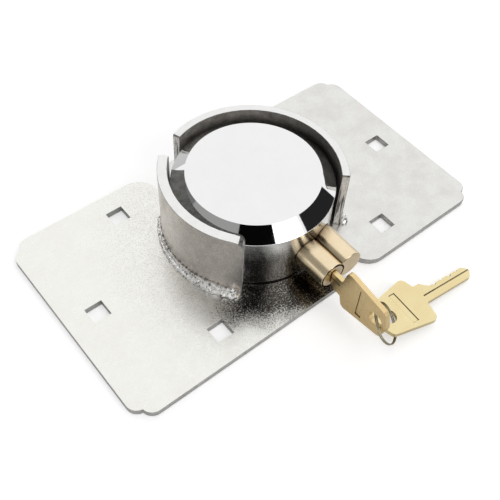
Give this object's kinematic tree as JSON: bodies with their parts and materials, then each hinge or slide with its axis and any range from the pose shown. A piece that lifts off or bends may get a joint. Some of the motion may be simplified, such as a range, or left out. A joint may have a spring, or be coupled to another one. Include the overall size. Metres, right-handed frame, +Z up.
{
  "type": "van lock",
  "caption": "Round steel puck lock in a shrouded van door hasp, unlocked, with its brass cylinder out, a key in it and a spare key on the ring.",
  "frame": {"origin": "the lock's axis at the underside of the hasp plates", "axes": "+X along the hasp towards the plate with the longer shroud, -Y the way the cylinder comes out, +Z up along the lock's axis"},
  "size_m": [0.196, 0.1446, 0.0385],
  "materials": {
    "zinc": "satin zinc plating",
    "weld": "rough weld",
    "polished_steel": "mirror polished",
    "brass": "satin",
    "steel": "satin",
    "spring_steel": "satin",
    "dull_brass": "worn",
    "pale_brass": "polished",
    "dark_steel": "oiled"
  },
  "bodies": {
    "root": {"hasp_plate_left": "zinc", "hasp_plate_right": "zinc", "shroud_left": "zinc", "shroud_right": "zinc", "staple_left": "zinc", "staple_right": "zinc", "weld_bead_left": "weld", "weld_bead_right": "weld", "lock_body": "polished_steel", "stop_pin": "steel"},
    "cylinder": {"cylinder_shell": "brass", "bolt": "steel", "return_spring": "spring_steel", "latch_spring": "spring_steel", "driver_pin_1": "brass", "driver_pin_2": "brass", "driver_pin_3": "brass", "driver_pin_4": "brass", "pin_spring_1": "spring_steel", "pin_spring_2": "spring_steel", "pin_spring_3": "spring_steel", "pin_spring_4": "spring_steel", "chamber_cap_1": "brass", "chamber_cap_2": "brass", "chamber_cap_3": "brass", "chamber_cap_4": "brass"},
    "plug": {"plug": "brass", "plug_clip": "spring_steel", "cam": "steel", "key": "dull_brass", "key_pin_1": "brass", "key_pin_2": "brass", "key_pin_3": "brass", "key_pin_4": "brass"},
    "latch": {"latch_bar": "steel"},
    "ring": {"key_ring": "dark_steel"},
    "spare": {"spare_key": "pale_brass"}
  },
  "joints": [
    {"name": "cylinder_push", "type": "slide", "parent": "root", "child": "cylinder", "axis": [0, 1, 0], "range_m": [0, 0.014], "stiffness_N_per_m": 300, "springref_m": -0.01, "deforming": ["return_spring"]},
    {"name": "plug_turn", "type": "hinge", "parent": "cylinder", "child": "plug", "pos_m": [0.0012, -0.053, 0.0165], "axis": [0, 1, 0], "range_deg": [-90, 0]},
    {"name": "latch_draw", "type": "slide", "parent": "cylinder", "child": "latch", "axis": [1, 0, 0], "range_m": [-0.00161, 0]},
    {"name": "ring_swing", "type": "hinge", "parent": "plug", "child": "ring", "pos_m": [0.0012, -0.0786, 0.0161], "axis": [-0.5832, -0.7933, -0.1745], "range_deg": [0, 60]},
    {"name": "spare_key_swing", "type": "hinge", "parent": "ring", "child": "spare", "pos_m": [0.01401, -0.07797, 0.0051], "axis": [0.0397, 0.7666, 0.6409], "range_deg": [-15, 0]}
  ],
  "couplings": [
    {"joint": "latch_draw", "follows": "plug_turn", "m_per_rad": 0.0010186}
  ]
}
